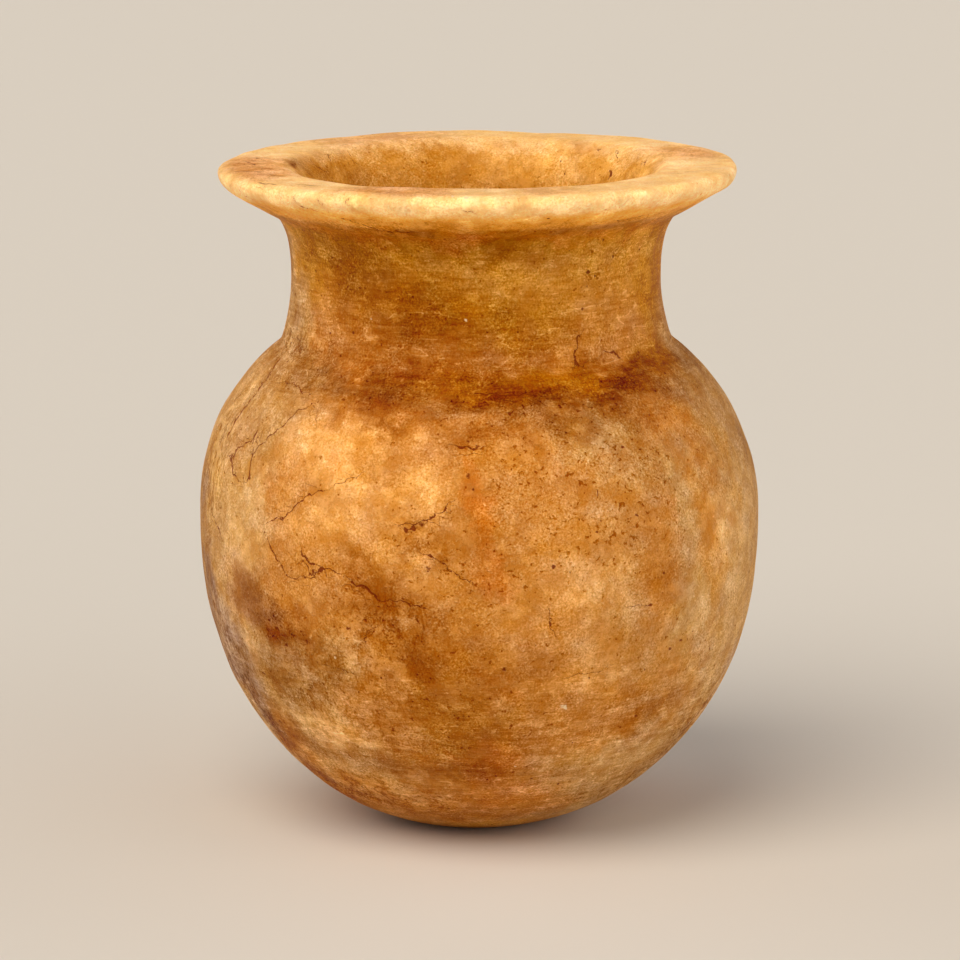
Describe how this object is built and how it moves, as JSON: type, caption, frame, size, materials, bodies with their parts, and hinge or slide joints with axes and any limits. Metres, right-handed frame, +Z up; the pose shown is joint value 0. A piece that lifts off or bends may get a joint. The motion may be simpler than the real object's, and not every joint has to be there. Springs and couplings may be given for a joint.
{
  "type": "alabaster pot",
  "caption": "Ancient globular stone jar, hollow, with a tall waisted neck, a broad flat lip and a small flat underside.",
  "frame": {"origin": "centre of the small flat underside, on the surface the pot stands on", "axes": "+Z up along the axis the pot was turned about; +X to the right and +Y away as seen from the front"},
  "size_m": [0.1268, 0.1268, 0.15],
  "materials": {
    "alabaster": "smoothed and weathered, honey to brown"
  },
  "bodies": {
    "root": {"alabaster_pot": "alabaster"}
  },
  "joints": []
}
